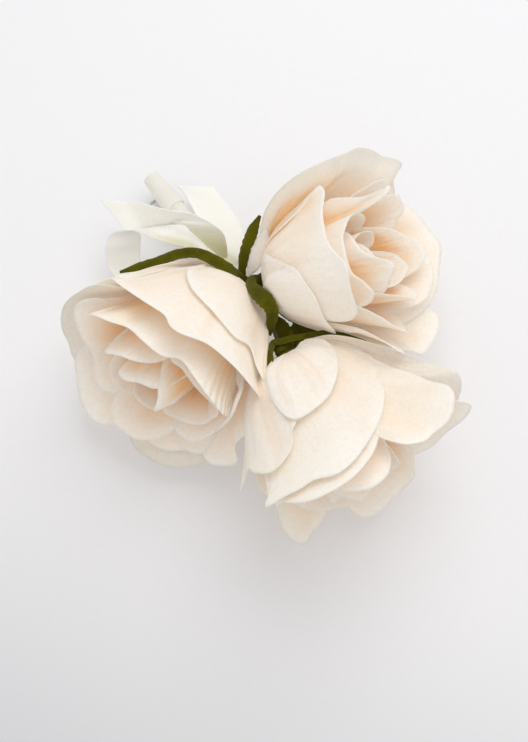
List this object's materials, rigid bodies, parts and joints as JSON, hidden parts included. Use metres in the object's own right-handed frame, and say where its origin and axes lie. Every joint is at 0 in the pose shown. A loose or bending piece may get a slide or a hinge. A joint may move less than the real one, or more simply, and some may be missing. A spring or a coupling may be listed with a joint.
{
  "type": "pin-on corsage",
  "caption": "Cloth rose corsage: open ivory roses on bound wire stems, with a ribbon-wrapped handle, a ribbon bow and a bar pin behind it.",
  "frame": {"origin": "on the ground under the middle of the corsage's box, as it lies on a table with its roses up", "axes": "+Z out of the wearer's chest, away from the garment; -Y the way the bound stems run, +Y towards the roses; +X to the right of one who looks at it with the stems down"},
  "size_m": [0.1116, 0.1246, 0.0714],
  "materials": {
    "petal": "matte ivory cloth",
    "sepal": "flocked olive green cloth",
    "ribbon": "ivory ribbed ribbon with a soft sheen",
    "tape": "waxed green crepe tape",
    "steel": "nickel-plated"
  },
  "bodies": {
    "corsage": {"left_rose_inner_petals": "petal", "left_rose_second_petals": "petal", "left_rose_third_petals": "petal", "left_rose_outer_petals": "petal", "left_rose_calyx": "sepal", "left_rose_bud": "petal", "left_rose_hip": "sepal", "left_rose_wire": "tape", "right_rose_inner_petals": "petal", "right_rose_second_petals": "petal", "right_rose_third_petals": "petal", "right_rose_outer_petals": "petal", "right_rose_calyx": "sepal", "right_rose_bud": "petal", "right_rose_hip": "sepal", "right_rose_wire": "tape", "bottom_rose_inner_petals": "petal", "bottom_rose_second_petals": "petal", "bottom_rose_third_petals": "petal", "bottom_rose_outer_petals": "petal", "bottom_rose_calyx": "sepal", "bottom_rose_bud": "petal", "bottom_rose_hip": "sepal", "bottom_rose_wire": "tape", "floral_tape": "tape", "stem_wrap": "ribbon", "stem_cap": "ribbon", "bow": "ribbon", "pin_bar": "steel", "pin_rivet": "steel"},
    "needle": {"pin_needle": "steel"},
    "sleeve": {"pin_sleeve": "steel"}
  },
  "joints": [
    {"name": "needle_hinge", "type": "hinge", "parent": "corsage", "child": "needle", "pos_m": [0.00141, -0.03295, 0.00195], "axis": [1, 0, 0], "range_deg": [0, 85]},
    {"name": "sleeve_turn", "type": "hinge", "parent": "corsage", "child": "sleeve", "pos_m": [0.00141, -0.05655, 0.00195], "axis": [0, -1, 0], "range_deg": [0, 150]}
  ]
}
